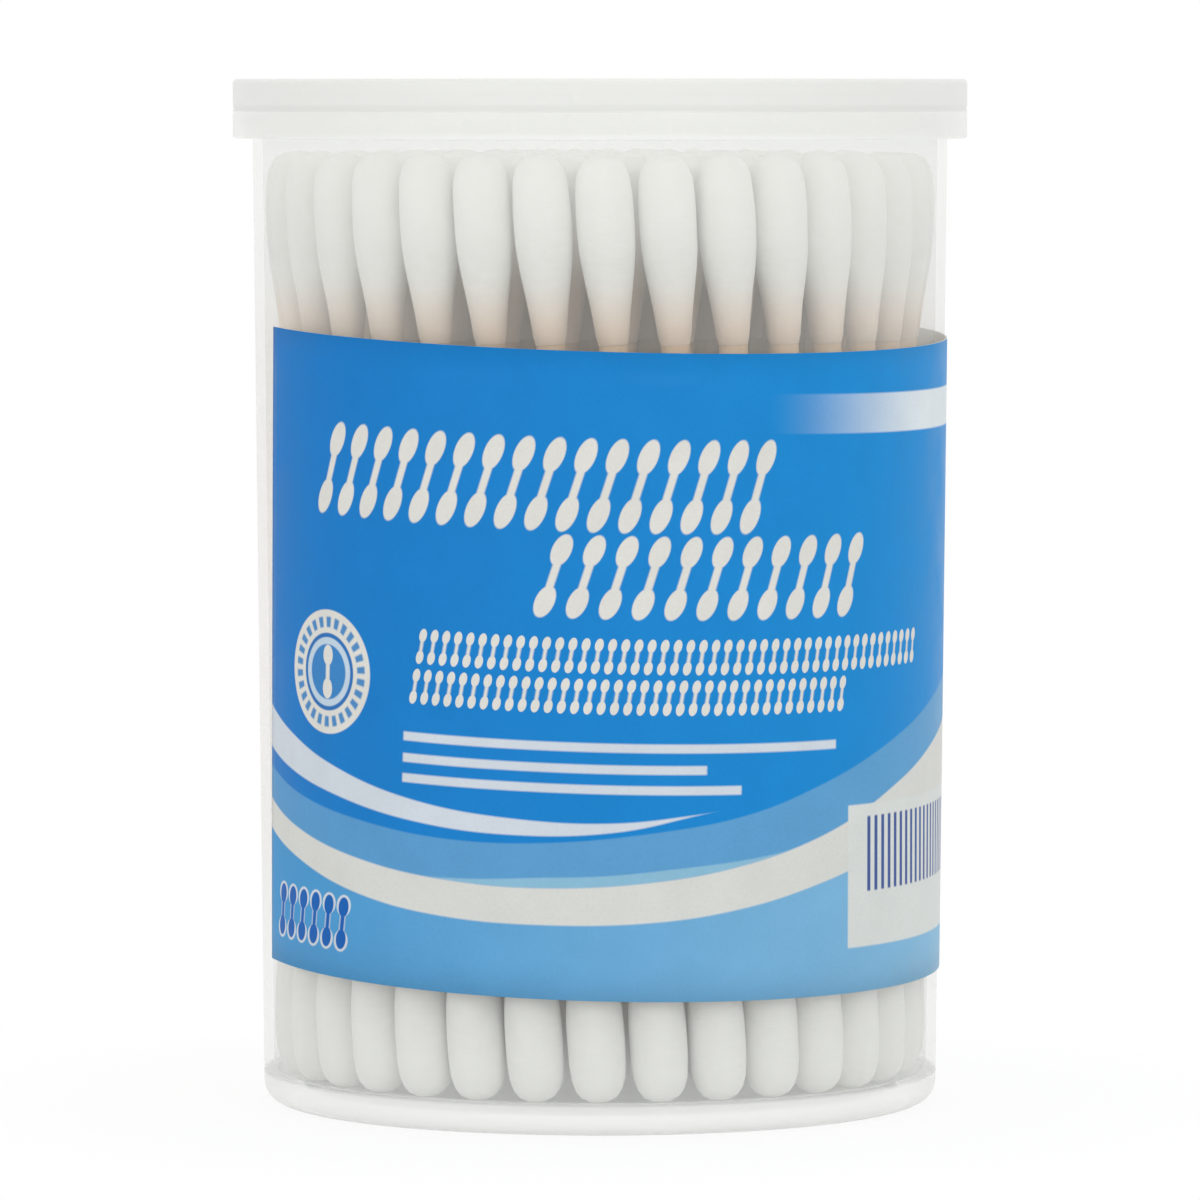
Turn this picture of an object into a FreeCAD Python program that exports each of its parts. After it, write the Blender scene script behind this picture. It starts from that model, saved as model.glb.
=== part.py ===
"""A clear round tub with a press-on lid, a wrapped label and a hundred cotton swabs.

The origin is on the tub's axis, in the plane that its foot ring stands on.
+Z is up and the label's front faces -Y. All lengths are millimetres and all
angles are degrees.
"""
import FreeCAD
import Part
import Sketcher
import math
import os

SIZES = [
    # The tub: a thin moulded cup that widens towards its mouth
    ("base_radius", 27.4),
    ("wall_flare", 0.8),
    ("tub_height", 80.8),
    ("tub_wall", 0.8),
    ("base_round", 1.8),
    ("foot_lift", 1.4),
    ("foot_width", 1.3),
    ("floor_thickness", 1.0),
    ("rim_step", 0.5),
    ("rim_height", 1.6),
    # The press-on lid: a plate on the rim, a raised ridge round it and a skirt
    ("skirt_gap", 0.4),
    ("skirt_depth", 2.4),
    ("skirt_wall", 0.7),
    ("plate_thickness", 1.1),
    ("ridge_rise", 1.3),
    ("ridge_width", 1.8),
    ("bead_height", 0.5),
    ("bead_clearance", 0.1),
    # The label: a straight strip, stuck a little askew
    ("label_height", 51.1),
    ("label_middle", 37.5),
    ("label_thickness", 0.15),
    ("glue_thickness", 0.05),
    ("label_start", -160.5),
    ("label_wrap", 290.0),
    ("label_lean_right", 1.6),
    ("label_lean_front", 2.3),
    # One swab: a wooden stick with cotton wound on both ends, as long as the tub leaves room for
    ("head_room", 3.35),
    ("stick_radius", 1.15),
    ("tip_length", 15.0),
    ("tip_radius", 2.25),
    ("tip_shoulder_radius", 2.1),
    ("tip_neck_radius", 1.35),
    ("tip_shoulder", 1.4),
    ("tip_belly", 5.5),
    ("inner_tip_belly", 3.0),
    # How the swabs stand in the tub
    ("floor_gap", 0.05),
    ("wall_gap", 0.12),
    ("side_gap", 0.15),
    ("ring_gap", 0.08),
    ("ring_lean", 12.0),
    ("slack_used", 0.8),
]

OUTER_SIDES = 7
OUTER_STICK_SIDES = 6
INNER_SIDES = 5
INNER_STICK_SIDES = 4
LABEL_STRIPS = 96
FLAT = 1e-6
UPRIGHT = FreeCAD.Vector(0, 0, 1)

# The unevenness of the swabs round a ring: waves per turn with their shares, and where they start
WAVES = [(1, 0.3), (3, 0.4), (5, 0.3)]
FOOT_PHASE = 1.3
HEAD_PHASE = 2.1

doc = FreeCAD.newDocument("swab_tub")
sheet = doc.addObject("Spreadsheet::Sheet", "Sizes")
for row, (alias, value) in enumerate(SIZES, start=1):
    sheet.set(f"A{row}", alias)
    sheet.set(f"B{row}", str(value))
    sheet.setAlias(f"B{row}", alias)
doc.recompute()


def size(alias):
    """One length or angle, as a plain number."""
    return float(sheet.get(alias))


def worked_out(formula):
    """What a formula comes to; every name after @ is a cell's alias."""
    return float(sheet.evalExpression(formula.replace("@", "")))


def bind(item, prop, formula):
    """Ties one property to the sheet by a formula."""
    item.setExpression(prop, formula.replace("@", "Sizes."))


def straight_edge(start, end):
    """One side of a section. A slanted side is a straight spline, so its turned face needs few facets."""
    if abs(start.x - end.x) < FLAT or abs(start.y - end.y) < FLAT:
        return Part.LineSegment(start, end)
    spline = Part.BSplineCurve()
    spline.buildFromPoles([start, end], False, 1)
    return spline


def turned_body(label, corners):
    """A body turned from a half section; each corner is a radius and a height, as formulas."""
    body = doc.addObject("PartDesign::Body", label)
    body.Label = label
    section = body.newObject("Sketcher::SketchObject", f"{label}_section")
    upright_plane = next(p for p in body.Origin.OriginFeatures if p.Role == "XZ_Plane")
    section.AttachmentSupport = [(upright_plane, "")]
    section.MapMode = "FlatFace"
    points = [FreeCAD.Vector(worked_out(x), worked_out(z), 0) for x, z in corners]
    for start, end in zip(points, points[1:] + points[:1]):
        section.addGeometry(straight_edge(start, end), False)
    last = len(points) - 1
    for line in range(len(points)):
        before = line - 1 if line else last
        section.addConstraint(Sketcher.Constraint("Coincident", before, 2, line, 1))
    for line, (x, z) in enumerate(corners):
        for kind, formula, level in (("DistanceX", x, points[line].x), ("DistanceY", z, points[line].y)):
            if formula == "0":
                axis = -2 if kind == "DistanceX" else -1
                section.addConstraint(Sketcher.Constraint("PointOnObject", line, 1, axis))
            else:
                tie = section.addConstraint(Sketcher.Constraint(kind, -1, 1, line, 1, level))
                bind(section, f"Constraints[{tie}]", formula)
    turning = body.newObject("PartDesign::Revolution", f"{label}_turned")
    turning.Profile = section
    turning.ReferenceAxis = (section, ["V_Axis"])
    turning.Angle = 360
    doc.recompute()
    return body


# The tub's section, from the middle of the underside out, round the corner, up the wall and down inside
FOOT_OUT = "@base_radius - @base_round"
FOOT_IN = "@base_radius - @base_round - @foot_width"
CORNER_OUT = "@base_radius - @base_round * (1 - sin(45))"
CORNER_UP = "@base_round * (1 - cos(45))"
FLOOR_TOP = "@foot_lift + @floor_thickness"
SHOULDER = "@tub_height - @rim_height"
MOUTH = "@base_radius + @wall_flare"
RIM = f"{MOUTH} + @rim_step"
tub = turned_body("tub", [
    ("0", "@foot_lift"),
    (FOOT_IN, "@foot_lift"),
    (FOOT_IN, "0"),
    (FOOT_OUT, "0"),
    (CORNER_OUT, CORNER_UP),
    ("@base_radius", "@base_round"),
    (MOUTH, SHOULDER),
    (RIM, SHOULDER),
    (RIM, "@tub_height"),
    (f"{MOUTH} - @tub_wall", "@tub_height"),
    ("@base_radius - @tub_wall", FLOOR_TOP),
    ("0", FLOOR_TOP),
])

# The lid's section, from the middle of the plate's underside out, round the skirt and back
PLATE_TOP = "@tub_height + @plate_thickness"
RIDGE_TOP = "@tub_height + @plate_thickness + @ridge_rise"
SKIRT_IN = f"{RIM} + @skirt_gap"
SKIRT_OUT = f"{SKIRT_IN} + @skirt_wall"
SKIRT_END = "@tub_height - @skirt_depth"
BEAD_IN = f"{RIM} + @bead_clearance"
RIDGE_IN = f"{SKIRT_OUT} - @ridge_width"
lid = turned_body("lid", [
    ("0", "@tub_height"),
    (SKIRT_IN, "@tub_height"),
    (SKIRT_IN, "@tub_height - @skirt_depth + 2 * @bead_height"),
    (BEAD_IN, "@tub_height - @skirt_depth + @bead_height"),
    (SKIRT_IN, SKIRT_END),
    (SKIRT_OUT, SKIRT_END),
    (SKIRT_OUT, RIDGE_TOP),
    (RIDGE_IN, RIDGE_TOP),
    (RIDGE_IN, PLATE_TOP),
    ("0", PLATE_TOP),
])


def flat_face(points):
    """A flat face inside a closed line through these points."""
    return Part.Face(Part.makePolygon(points + points[:1]))


def flat_sided(label, sides, stations):
    """A solid with flat sides through stations of height and radius; a first radius of 0 is a point."""
    rounds = []
    for height, radius in stations:
        turns = [2 * math.pi * side / sides for side in range(sides)]
        rounds.append([FreeCAD.Vector(radius * math.cos(t), radius * math.sin(t), height) for t in turns])
    pointed = stations[0][1] == 0
    faces = [flat_face(rounds[-1])]
    if not pointed:
        faces.append(flat_face(rounds[0]))
    for side in range(sides):
        after = (side + 1) % sides
        for step, (low, high) in enumerate(zip(rounds, rounds[1:])):
            start = [low[side]] if pointed and step == 0 else [low[side], low[after]]
            faces.append(flat_face(start + [high[after], high[side]]))
    solid = Part.Solid(Part.Shell(faces))
    if solid.Volume < 0:
        solid.reverse()
    item = doc.addObject("Part::Feature", label)
    item.Shape = solid
    return item


def wall_layer(label, offset):
    """What lies inside a flat-sided skin, this far outside the tub's wall."""
    reach = 1 / math.cos(math.pi / LABEL_STRIPS)
    return flat_sided(label, LABEL_STRIPS, [
        (size("base_round"), (size("base_radius") + offset) * reach),
        (worked_out(SHOULDER), (worked_out(MOUTH) + offset) * reach),
    ])


# The label: what a leaning band keeps of a thin layer that follows the wall, in narrow flat strips
layer = doc.addObject("Part::Cut", "label_layer")
layer.Base = wall_layer("label_outside", size("glue_thickness") + size("label_thickness"))
layer.Tool = wall_layer("label_inside", size("glue_thickness"))
band = doc.addObject("Part::Cylinder", "label_band")
bind(band, "Radius", SKIRT_OUT)
bind(band, "Height", "@label_height")
bind(band, "Angle", "@label_wrap")
band_turn = "rotationy(@label_lean_right) * rotationx(@label_lean_front) * rotationz(@label_start)"
band_foot = "vector(0; 0; -@label_height / 2)"
bind(band, "Placement", "placement(vector(0; 0; @label_middle) + "
     f"({band_turn}) * {band_foot}; {band_turn})")
label = doc.addObject("Part::Common", "label")
label.Label = "label"
label.Base = layer
label.Tool = band
doc.recompute()


SWAB_LENGTH = f"@tub_height - @head_room - @floor_gap - ({FLOOR_TOP})"


def wooden_stick(label, sides):
    """The bare wood between the two tips, standing on the lower one."""
    stick = doc.addObject("Part::Prism", label)
    stick.Polygon = sides
    bind(stick, "Circumradius", "@stick_radius")
    bind(stick, "Height", f"{SWAB_LENGTH} - 2 * @tip_length")
    bind(stick, "Placement.Base.z", "@tip_length")
    return stick


# The wound cotton, with its end down at the origin, finer in the ring that shows through the wall
tip_end = (0, 0)
tip_neck = (size("tip_length"), size("tip_neck_radius"))
outer_tip = flat_sided("outer_tip", OUTER_SIDES, [
    tip_end,
    (size("tip_shoulder"), size("tip_shoulder_radius")),
    (size("tip_belly"), size("tip_radius")),
    tip_neck,
])
inner_tip = flat_sided("inner_tip", INNER_SIDES, [
    tip_end,
    (size("inner_tip_belly"), size("tip_radius")),
    tip_neck,
])
outer_stick = wooden_stick("outer_stick", OUTER_STICK_SIDES)
inner_stick = wooden_stick("inner_stick", INNER_STICK_SIDES)
doc.recompute()


def wall_inside(height):
    """The radius of the tub's inner wall at this height above the table."""
    floor_top = worked_out(FLOOR_TOP)
    share = (height - floor_top) / (size("tub_height") - floor_top)
    return size("base_radius") - size("tub_wall") + share * size("wall_flare")


def ring_radii():
    """The rings' radii at the foot, as far in as one more swab fits in the middle, with their counts."""
    width = 2 * size("tip_radius")
    step = width + size("ring_gap")
    radius = wall_inside(worked_out(FLOOR_TOP)) - size("wall_gap") - width / 2
    found = []
    while radius > step:
        half_turn = math.asin((width + size("side_gap")) / 2 / radius)
        found.append((radius, int(math.pi / half_turn)))
        radius -= step
    return found


def uneven(turn, phase):
    """How far a swab stands from its even place: slow waves round the ring that never swap neighbours."""
    return sum(part / wave * math.sin(wave * turn + wave * phase) for wave, part in WAVES)


def swab_ends(ring, radius, count):
    """The centres of the foot and head of each swab in one ring."""
    width = 2 * size("tip_radius")
    foot_height = worked_out(FLOOR_TOP) + size("floor_gap")
    head_height = foot_height + worked_out(SWAB_LENGTH)
    spread = wall_inside(head_height) / wall_inside(foot_height)
    side = 1 if ring % 2 else -1
    ends = []
    for place in range(count):
        pair = []
        foot_level = foot_height, radius, FOOT_PHASE * ring
        head_level = head_height, radius * spread, HEAD_PHASE + ring
        for level, reach, phase in (foot_level, head_level):
            slack = 1 - 2 * math.asin(width / 2 / reach) * count / (2 * math.pi)
            turn = 2 * math.pi * place / count
            turn += size("slack_used") * slack * uneven(turn, phase)
            if level == head_height:
                turn += side * math.radians(size("ring_lean")) / (1 + ring)
            pair.append(FreeCAD.Vector(reach * math.sin(turn), -reach * math.cos(turn), level))
        ends.append(pair)
    return ends


def stand_up(shape, foot, head):
    """A copy of a swab's piece, moved from the upright at the origin to the line from foot to head."""
    lean = FreeCAD.Rotation(UPRIGHT, head - foot)
    copy = shape.copy()
    copy.Placement = FreeCAD.Placement(foot, lean).multiply(shape.Placement)
    return copy


def upper_tip(shape):
    """The same tip turned over, with its end at the top of the swab."""
    flip = FreeCAD.Rotation(FreeCAD.Vector(1, 0, 0), 180)
    copy = shape.copy()
    over = FreeCAD.Placement(UPRIGHT * worked_out(SWAB_LENGTH), flip)
    copy.Placement = over.multiply(shape.Placement)
    return copy


def standing_swabs(names, stick, tip, ends):
    """The sticks, lower tips and upper tips of the swabs that stand between these ends, as three nodes."""
    made = []
    for name, shape in zip(names, (stick.Shape, tip.Shape, upper_tip(tip.Shape))):
        group = doc.addObject("Part::Feature", name)
        group.Label = name
        group.Shape = Part.makeCompound([stand_up(shape, foot, head) for foot, head in ends])
        group.Placement = FreeCAD.Placement()
        made.append(group)
    return made


swabs = []
for ring, (radius, count) in enumerate(ring_radii()):
    tip = inner_tip if ring else outer_tip
    stick = inner_stick if ring else outer_stick
    names = [f"ring_{ring + 1}_{piece}" for piece in ("sticks", "lower_tips", "upper_tips")]
    swabs += standing_swabs(names, stick, tip, swab_ends(ring, radius, count))

# One more swab stands upright on the axis, inside the innermost ring
middle_foot = UPRIGHT * (worked_out(FLOOR_TOP) + size("floor_gap"))
middle_ends = [(middle_foot, middle_foot + UPRIGHT * worked_out(SWAB_LENGTH))]
middle_names = ["middle_stick", "middle_lower_tip", "middle_upper_tip"]
swabs += standing_swabs(middle_names, inner_stick, inner_tip, middle_ends)
doc.recompute()

sub_parts = [tub, lid, label] + swabs
for item in doc.Objects:
    if "Invalid" in item.State or "Error" in item.State:
        raise RuntimeError(f"{item.Label} could not be made: {item.State}")
for item in sub_parts:
    if item.Shape.isNull() or not item.Shape.isValid():
        raise RuntimeError(f"{item.Label} has no valid shape")

os.makedirs("parts", exist_ok=True)
for item in sub_parts:
    item.Shape.exportStep(f"parts/{item.Label}.step")
    print(item.Label, len(item.Shape.Solids), "solids", round(item.Shape.Volume, 1), "mm3")
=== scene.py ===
# %% [markdown]
# # A clear round tub of cotton swabs
# The object is a thin plastic tub with a press-on lid, a printed label wrapped
# round its wall, and a hundred wooden swabs standing inside, with cotton wound
# on both ends. Everything here is built round a fixed frame: the solids that
# the construction model hands over. Each piece below takes its place from them.

# %% Load the frame
import math

import bmesh
import bpy
from mathutils import Matrix, Vector, noise


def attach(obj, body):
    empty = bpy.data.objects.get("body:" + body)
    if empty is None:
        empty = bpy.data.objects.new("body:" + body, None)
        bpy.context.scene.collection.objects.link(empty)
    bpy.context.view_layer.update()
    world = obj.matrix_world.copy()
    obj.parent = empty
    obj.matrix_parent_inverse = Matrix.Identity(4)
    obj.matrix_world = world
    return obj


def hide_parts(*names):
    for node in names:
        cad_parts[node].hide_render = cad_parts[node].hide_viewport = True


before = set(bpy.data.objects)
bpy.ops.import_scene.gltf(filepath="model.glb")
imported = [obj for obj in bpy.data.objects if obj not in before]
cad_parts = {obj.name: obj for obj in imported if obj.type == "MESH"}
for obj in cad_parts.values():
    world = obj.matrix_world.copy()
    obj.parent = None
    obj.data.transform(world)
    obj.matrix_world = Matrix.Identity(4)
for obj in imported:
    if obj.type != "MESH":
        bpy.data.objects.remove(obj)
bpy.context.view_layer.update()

MM = 0.001
ROUND_STEPS = 144


# %% [markdown]
# ## Two helpers for shapes
# A moulded tub and its lid are round, so both are drawn as a half section, a
# line of points that each hold a radius and a height, and spun about the
# upright axis. The spin could leave a seam where it closes, so the first and
# last turns are merged, and so are the points that meet on the axis. A
# finished shape becomes one object that sits at the origin.

# %% Spin a half section into a shape
def spun(section, turns):
    """A bmesh spun from a half section of (radius, height) points in millimetres."""
    shape = bmesh.new()
    points = [shape.verts.new((radius * MM, 0, height * MM)) for radius, height in section]
    edges = [shape.edges.new(pair) for pair in zip(points, points[1:])]
    bmesh.ops.spin(shape, geom=points + edges, cent=(0, 0, 0), axis=(0, 0, 1), dvec=(0, 0, 0),
                   angle=2 * math.pi, steps=turns, use_merge=True, use_duplicate=False)
    bmesh.ops.remove_doubles(shape, verts=shape.verts, dist=0.002 * MM)
    bmesh.ops.recalc_face_normals(shape, faces=shape.faces)
    return shape


# %% Turn a shape into an object
def finished(name, shape, *materials):
    """One smooth object made from a bmesh, with its materials."""
    mesh = bpy.data.meshes.new(name)
    shape.to_mesh(mesh)
    shape.free()
    mesh.shade_smooth()
    for material in materials:
        mesh.materials.append(material)
    piece = bpy.data.objects.new(name, mesh)
    bpy.context.scene.collection.objects.link(piece)
    print(name, len(mesh.polygons), "faces")
    return piece


# %% [markdown]
# ## Colours as they are seen
# Paint charts and pictures give a colour as three numbers from 0 to 255 on a
# curve that suits the eye, while the shader mixes light in plain amounts. One
# small function turns the first kind into the second, so every colour below
# can be read like a paint chart.

# %% A paint chart's colour for a shader
def paint(red, green, blue):
    """A colour given from 0 to 255, as the shader's plain amounts of light."""
    parts = []
    for part in (red, green, blue):
        share = part / 255
        parts.append(share / 12.92 if share <= 0.04045 else ((share + 0.055) / 1.055) ** 2.4)
    return (*parts, 1.0)


print("label blue as plain light:", [round(v, 3) for v in paint(36, 130, 200)])


# %% [markdown]
# ## A few words for wiring nodes
# A material here is a small tree of nodes. Placing each node by hand takes a
# line for every link, so these helpers place a node, set what it needs and
# hand back its output. They keep the materials below short enough to read.

# %% Place a node and link what it needs
def add_node(tree, kind, settings=None, **inputs):
    """A new node with its settings and its inputs, which are values or other nodes' outputs."""
    node = tree.nodes.new(kind)
    for name, value in (settings or {}).items():
        setattr(node, name, value)
    for key, value in inputs.items():
        slot = int(key[1:]) if key[0] == "n" and key[1:].isdigit() else key.replace("_", " ")
        socket = node.inputs[slot]
        if isinstance(value, bpy.types.NodeSocket):
            tree.links.new(value, socket)
        else:
            socket.default_value = value
    return node


def sum_of(tree, operation, *values):
    """One step of arithmetic, as its output."""
    inputs = {f"n{place}": value for place, value in enumerate(values)}
    return add_node(tree, "ShaderNodeMath", {"operation": operation}, **inputs).outputs[0]


def blend_colours(tree, share, first, second):
    """The first colour where the share is 0 and the second where it is 1."""
    node = add_node(tree, "ShaderNodeMix", {"data_type": "RGBA"})
    for slot, value in ((0, share), (6, first), (7, second)):
        if isinstance(value, bpy.types.NodeSocket):
            tree.links.new(value, node.inputs[slot])
        else:
            node.inputs[slot].default_value = value
    return node.outputs[2]


def new_material(name):
    """A material with its tree and its main shader."""
    material = bpy.data.materials.new(name)
    material.use_nodes = True
    tree = material.node_tree
    return material, tree, tree.nodes["Principled BSDF"]


def new_group(name, inputs, outputs):
    """An empty node group with its named sockets, and the nodes that hold its inputs and outputs."""
    tree = bpy.data.node_groups.new(name, "ShaderNodeTree")
    for socket, kind, value in inputs:
        made = tree.interface.new_socket(socket, in_out="INPUT", socket_type=kind)
        made.default_value = value
    for socket, kind in outputs:
        tree.interface.new_socket(socket, in_out="OUTPUT", socket_type=kind)
    return tree, tree.nodes.new("NodeGroupInput").outputs, tree.nodes.new("NodeGroupOutput").inputs


# %% [markdown]
# ## Milky plastic
# The tub and its lid are moulded from a clear plastic that is never quite
# clear: it looks milky where light skims along it, and faint cloudy streaks
# and scuffs cover it. Real glass bends what is behind it, but a wall this thin
# hardly does, so a mostly see-through surface is used. The streaks are one
# node group that both materials use. Haze comes in near the wall's top and
# foot, as it does in the picture. The tub's foot is thicker plastic with a
# whiter tone of its own. The lid is more solid from the groove round its side
# upward, and darker there: the band in the groove is painted shade, and the
# ridge above keeps part of that darker tone. Milky plastic scatters light
# onward instead of stopping it, so it is clearer for the light that goes in
# than for the eye, which keeps the swabs inside bright.

# %% Cloudy streaks and scuffs, shared by tub and lid
cloud_tree, cloud_in, cloud_out = new_group(
    "cloudy plastic",
    [("Streak size", "NodeSocketFloat", 90.0), ("Scuff size", "NodeSocketFloat", 700.0)],
    [("Cloud", "NodeSocketFloat"), ("Height", "NodeSocketFloat")],
)
place = cloud_tree.nodes.new("ShaderNodeTexCoord").outputs["Object"]
stretched = add_node(cloud_tree, "ShaderNodeMapping", Vector=place, Scale=(1.0, 1.0, 0.35)).outputs[0]
streaks = add_node(cloud_tree, "ShaderNodeTexNoise", Vector=stretched, Scale=cloud_in["Streak size"],
                   Detail=3.0, Roughness=0.6).outputs[0]
scuffs = add_node(cloud_tree, "ShaderNodeTexNoise", Vector=place, Scale=cloud_in["Scuff size"],
                  Detail=2.0, Roughness=0.7).outputs[0]
sharp = add_node(cloud_tree, "ShaderNodeMapRange", Value=scuffs, n1=0.62, n2=0.75).outputs[0]
cloud = sum_of(cloud_tree, "ADD", sum_of(cloud_tree, "MULTIPLY", streaks, 0.8),
               sum_of(cloud_tree, "MULTIPLY", sharp, 0.3))
cloud_tree.links.new(cloud, cloud_out["Cloud"])
cloud_tree.links.new(streaks, cloud_out["Height"])
print(cloud_tree.name, "has", len(cloud_tree.nodes), "nodes")


# %% Haze that comes in with the height
def hazy_zones(tree, height, solid, zones):
    """How solid the plastic is with each zone's haze, which comes in from one height to another."""
    for clear, hazy, haze in zones:
        zone = add_node(tree, "ShaderNodeMapRange", {"interpolation_type": "SMOOTHSTEP"},
                        Value=height, n1=clear * MM, n2=hazy * MM, n4=haze).outputs[0]
        solid = sum_of(tree, "ADD", solid, zone)
    return solid


# %% The plastic itself, thin for the wall and thicker for the lid
CLOUD_MIDDLE, CLEAREST, FULLY_THICK = 0.4, 0.02, 0.45


def milky_plastic(name, thin_colour, thick_and_shade_colour, face_on, edge_on, cloudiness,
                  most, stopped, hazes, thick_and_shaded_parts):
    """A see-through plastic; its shares run from 0 for clear to 1 for solid.

    face_on and edge_on are how solid it looks from the front and along its
    surface, cloudiness what the streaks add, and most where that ends with all
    its hazes. stopped is the part of it that stops light on its way in. The
    thicker and shaded parts add to how solid it looks and take the second
    colour; on the lid that colour is painted shade.
    """
    material, tree, shader = new_material(name)
    cloudy = tree.nodes.new("ShaderNodeGroup")
    cloudy.node_tree = cloud_tree
    facing = add_node(tree, "ShaderNodeLayerWeight", Blend=0.3).outputs["Facing"]
    solid = add_node(tree, "ShaderNodeMapRange", Value=facing, n3=face_on, n4=edge_on).outputs[0]
    swing = sum_of(tree, "SUBTRACT", cloudy.outputs["Cloud"], CLOUD_MIDDLE)
    solid = sum_of(tree, "ADD", solid, sum_of(tree, "MULTIPLY", swing, cloudiness))
    height = add_node(tree, "ShaderNodeSeparateXYZ",
                      Vector=tree.nodes.new("ShaderNodeTexCoord").outputs["Object"]).outputs["Z"]
    solid = add_node(tree, "ShaderNodeClamp", Value=hazy_zones(tree, height, solid, hazes),
                     Min=CLEAREST, Max=most).outputs[0]
    to_eye = hazy_zones(tree, height, solid, thick_and_shaded_parts)
    to_light = sum_of(tree, "MULTIPLY", solid, stopped)
    seen = tree.nodes.new("ShaderNodeLightPath").outputs["Is Camera Ray"]
    alpha = add_node(tree, "ShaderNodeMapRange", Value=seen, n3=to_light, n4=to_eye).outputs[0]
    rough = add_node(tree, "ShaderNodeMapRange", Value=cloudy.outputs["Cloud"],
                     n3=0.26, n4=0.44).outputs[0]
    bump = add_node(tree, "ShaderNodeBump", Height=cloudy.outputs["Height"], Strength=0.15,
                    Distance=0.05 * MM).outputs[0]
    # The thicker and shaded parts turn the colour towards the second colour; on the lid that darker
    # colour is painted shade.
    added = sum_of(tree, "SUBTRACT", to_eye, solid)
    thick_and_shade_share = add_node(tree, "ShaderNodeMapRange", Value=added, n2=FULLY_THICK).outputs[0]
    tree.links.new(blend_colours(tree, thick_and_shade_share, thin_colour, thick_and_shade_colour), shader.inputs["Base Color"])
    shader.inputs["IOR"].default_value = 1.49
    shader.inputs["Specular IOR Level"].default_value = 0.36
    tree.links.new(alpha, shader.inputs["Alpha"])
    tree.links.new(rough, shader.inputs["Roughness"])
    tree.links.new(bump, shader.inputs["Normal"])
    return material


# each zone: the height in mm where it is clear, the height where it is full, the haze it adds
tub_finish = milky_plastic(
    "milky tub wall", paint(243, 244, 240), paint(255, 255, 253), face_on=0.11, edge_on=0.4,
    cloudiness=0.03, most=0.24, stopped=0.66, hazes=[(66.0, 72.5, 0.13), (10.0, 3.0, 0.11)],
    thick_and_shaded_parts=[(2.8, 2.3, FULLY_THICK)])
# The lid's second colour is darker: the band from 80.65 to 80.95 mm, in the groove round its side, is
# painted shade, and the ridge above keeps part of it.
lid_finish = milky_plastic(
    "milky lid", paint(245, 246, 242), paint(224, 225, 221), face_on=0.46, edge_on=0.64,
    cloudiness=0.08, most=0.9, stopped=0.35, hazes=[],
    thick_and_shaded_parts=[(80.5, 80.65, FULLY_THICK), (80.95, 81.1, -0.17)])
print("plastics:", tub_finish.name, "and", lid_finish.name)


# %% [markdown]
# ## The tub
# The real tub is one moulding: a thin wall that widens a little towards its
# mouth, a small foot ring, a rounded corner below and a thicker band round the
# rim. The section goes from the middle of the underside out over the foot,
# round the corner, up the wall, over the rim and down inside to the floor.

# %% The rounded corner of a section
def rounded(centre, radius, start, end, steps):
    """Points on a part of a circle, from one angle to another in degrees."""
    angles = [math.radians(start + (end - start) * step / steps) for step in range(steps + 1)]
    return [(centre[0] + radius * math.cos(a), centre[1] + radius * math.sin(a)) for a in angles]


# %% Draw the tub's section and spin it
BASE, MOUTH, WALL, FLOOR_UP = 27.4, 28.2, 0.8, 2.4
RIM_TOP, RIM_LOW, RIM_OUT = 80.8, 79.2, 28.7
tub_section = [(0, 1.4), (12, 1.4), (24.0, 1.4), (24.25, 1.25), (24.35, 0.35)]
tub_section += [(24.6, 0.08), (24.8, 0.0), (25.3, 0.0)]
tub_section += rounded((25.6, 1.8), 1.8, -80, 0, 7)
tub_section += [(BASE + 0.2, 21.0), (BASE + 0.4, 40.0), (BASE + 0.6, 60.0), (MOUTH, 78.9)]
tub_section += [(MOUTH + 0.1, RIM_LOW), (RIM_OUT - 0.1, RIM_LOW), (RIM_OUT, RIM_LOW + 0.12)]
tub_section += [(RIM_OUT, RIM_TOP - 0.25), (RIM_OUT - 0.08, RIM_TOP - 0.08)]
tub_section += [(RIM_OUT - 0.25, RIM_TOP), (MOUTH - WALL + 0.2, RIM_TOP), (MOUTH - WALL, RIM_TOP - 0.2)]
tub_section += [(MOUTH - WALL - 0.2, 60.0), (MOUTH - WALL - 0.4, 40.0), (MOUTH - WALL - 0.6, 21.0)]
tub_section += [(BASE - WALL, 3.4), (BASE - WALL - 0.3, 2.7), (BASE - WALL - 1.0, FLOOR_UP)]
tub_section += [(12, FLOOR_UP), (0, FLOOR_UP)]
tub_cup = finished("tub_cup", spun(tub_section, ROUND_STEPS), tub_finish)
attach(tub_cup, "tub")
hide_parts("tub")


# %% [markdown]
# ## The press-on lid
# The lid is a shallow disc with a skirt that grips the rim from outside, a
# small bead inside the skirt that clicks under the rim band, and a raised
# ridge on top so that tubs can stand on each other. It is the same kind of
# half section, and the ridge's edges are softened as a mould leaves them.

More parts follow.
